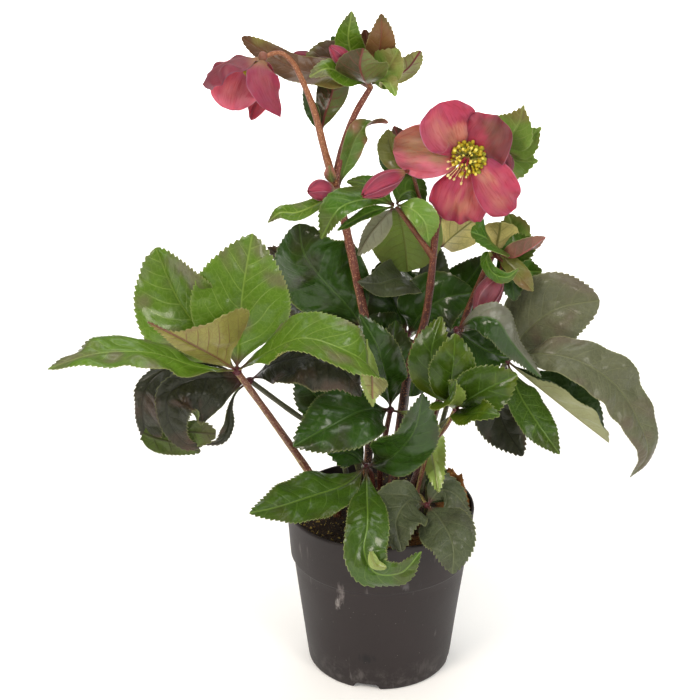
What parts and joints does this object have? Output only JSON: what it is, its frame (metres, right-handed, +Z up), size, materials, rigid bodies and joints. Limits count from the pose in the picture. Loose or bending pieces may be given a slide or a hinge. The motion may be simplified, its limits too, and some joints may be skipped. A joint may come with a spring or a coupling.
{
  "type": "hellebore plant",
  "caption": "Flowering hellebore in a round black nursery pot: stalked hand-shaped leaves with toothed leaflets, bracted red stems, buds, an open rose flower and a nodding one.",
  "frame": {"origin": "centre of the pot's base, on the surface it stands on", "axes": "+Z up out of the pot, -Y towards the side the open flower faces, +X to that view's right"},
  "size_m": [0.3773, 0.2618, 0.4531],
  "materials": {
    "pot": "thin moulded black plastic with a soft sheen",
    "soil": "loose dark moist peat with grit",
    "flower_stem": "smooth red-brown flowering stem",
    "leaf_stalk": "smooth pinkish-brown leaf stalk",
    "leaf_young": "fresh green leathery leaf with pale veins",
    "leaf_green": "green leathery leaf",
    "leaf_dark": "dark green glossy leathery leaf",
    "leaf_old": "older grey-green leathery leaf",
    "bract": "green to brown-green thin leathery bract",
    "tepal": "soft rose-pink petal-like tepal",
    "stamen": "cream-yellow filament and anther",
    "carpel": "dark red carpel",
    "bud": "closed rose-red tepals"
  },
  "bodies": {
    "root": {"pot": "pot", "soil": "soil", "flower_stem_front": "flower_stem", "flower_stem_left": "flower_stem", "flower_stem_right": "flower_stem", "leaf_left_front_stalk": "leaf_stalk", "leaf_left_front_blades": "leaf_young", "leaf_left_old_stalk": "leaf_stalk", "leaf_left_old_blades": "leaf_old", "leaf_mid_left_stalk": "leaf_stalk", "leaf_mid_left_blades": "leaf_dark", "leaf_front_low_stalk": "leaf_stalk", "leaf_front_low_blades": "leaf_green", "leaf_front_right_low_stalk": "leaf_stalk", "leaf_front_right_low_blades": "leaf_old", "leaf_right_large_stalk": "leaf_stalk", "leaf_right_large_blades": "leaf_old", "leaf_centre_right_stalk": "leaf_stalk", "leaf_centre_right_blades": "leaf_dark", "leaf_front_young_stalk": "leaf_stalk", "leaf_front_young_blades": "leaf_young", "leaf_upper_left_stalk": "leaf_stalk", "leaf_upper_left_blades": "leaf_dark", "leaf_back_centre_stalk": "leaf_stalk", "leaf_back_centre_blades": "leaf_dark", "leaf_back_left_stalk": "leaf_stalk", "leaf_back_left_blades": "leaf_old", "leaf_back_right_stalk": "leaf_stalk", "leaf_back_right_blades": "leaf_dark", "bracts_front_stem": "bract", "bract_front_stem_pale": "bract", "bracts_flower_left": "bract", "bracts_flower_right": "bract", "bracts_right_cluster": "bract", "bracts_stem_left": "bract", "bract_left_fork": "bract", "bracts_top": "bract", "front_flower_tepals": "tepal", "front_flower_stamens": "stamen", "front_flower_carpels": "carpel", "side_flower_tepals": "tepal", "side_flower_stamens": "stamen", "bud_front": "bud", "bud_left": "bud", "bud_top": "bud", "bud_top_left": "bud", "bud_right": "bud", "bud_flower_right": "bud"}
  },
  "joints": []
}
